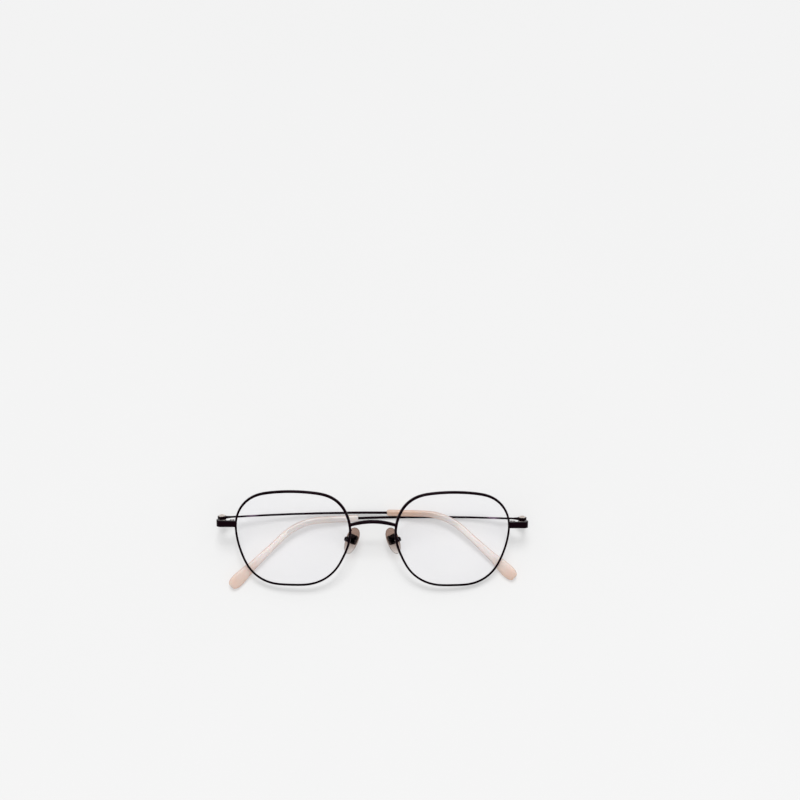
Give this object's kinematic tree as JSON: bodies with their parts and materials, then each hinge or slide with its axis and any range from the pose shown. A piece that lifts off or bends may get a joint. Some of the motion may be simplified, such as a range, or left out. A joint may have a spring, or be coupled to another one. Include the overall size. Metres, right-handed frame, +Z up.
{
  "type": "square eyeglasses",
  "caption": "Square full-rim metal eyeglasses with thin wire temples, milky acetate tips and adjustable nose pads, folded.",
  "frame": {"origin": "centre of the bounding box on the table that the folded pair lies on", "axes": "+X towards the right hinge as seen from the front, +Y towards the top of the rims along the table, +Z up from the table"},
  "size_m": [0.1361, 0.0417, 0.0217],
  "materials": {
    "rim_enamel": "glossy dark plum enamel over thin wire",
    "clear_resin": "clear resin with a faint cool reflection",
    "bridge_enamel": "glossy dark plum enamel",
    "end_piece_enamel": "glossy dark plum enamel",
    "lock_metal": "dark plum enamel",
    "screw_steel": "turned steel",
    "hinge_screw_steel": "bright turned steel",
    "washer_steel": "grey steel",
    "pad_arm_metal": "dark plum enamel",
    "pad_screw_steel": "bright turned steel",
    "pad_silicone": "smoky translucent silicone",
    "insert_metal": "dark insert",
    "temple_enamel": "glossy dark plum enamel",
    "milky_acetate": "polished milky pink acetate"
  },
  "bodies": {
    "front": {"bridge": "bridge_enamel", "rim_left": "rim_enamel", "rim_right": "rim_enamel", "lens_left": "clear_resin", "lens_right": "clear_resin", "end_piece_left": "end_piece_enamel", "end_piece_right": "end_piece_enamel", "rim_lock_left": "lock_metal", "rim_lock_right": "lock_metal", "rim_lock_screw_left": "screw_steel", "rim_lock_screw_right": "screw_steel", "hinge_screw_left": "hinge_screw_steel", "hinge_screw_right": "hinge_screw_steel", "hinge_washer_left": "washer_steel", "hinge_washer_right": "washer_steel", "pad_arm_left": "pad_arm_metal", "pad_arm_right": "pad_arm_metal", "pad_screw_left": "pad_screw_steel", "pad_screw_right": "pad_screw_steel"},
    "temple_left": {"temple_left": "temple_enamel", "temple_tip_left": "milky_acetate"},
    "nose_pad_left": {"nose_pad_left": "pad_silicone", "pad_insert_left": "insert_metal"},
    "temple_right": {"temple_right": "temple_enamel", "temple_tip_right": "milky_acetate"},
    "nose_pad_right": {"nose_pad_right": "pad_silicone", "pad_insert_right": "insert_metal"}
  },
  "joints": [
    {"name": "temple_left_hinge", "type": "hinge", "parent": "front", "child": "temple_left", "pos_m": [-0.06634, 0.00997, 0.00699], "axis": [-0.0174, 0.9228, 0.3848], "range_deg": [0, 88]},
    {"name": "temple_right_hinge", "type": "hinge", "parent": "front", "child": "temple_right", "pos_m": [0.06599, 0.01075, 0.00512], "axis": [0.0174, -0.9228, -0.3848], "range_deg": [0, 88]},
    {"name": "nose_pad_left_rock", "type": "hinge", "parent": "front", "child": "nose_pad_left", "pos_m": [-0.01121, 0.001, 0.00649], "axis": [-0.6162, 0.3412, -0.7099], "range_deg": [-10, 10]},
    {"name": "nose_pad_right_rock", "type": "hinge", "parent": "front", "child": "nose_pad_right", "pos_m": [0.01098, 0.00113, 0.00617], "axis": [0.5917, 0.3483, -0.727], "range_deg": [-10, 10]}
  ]
}
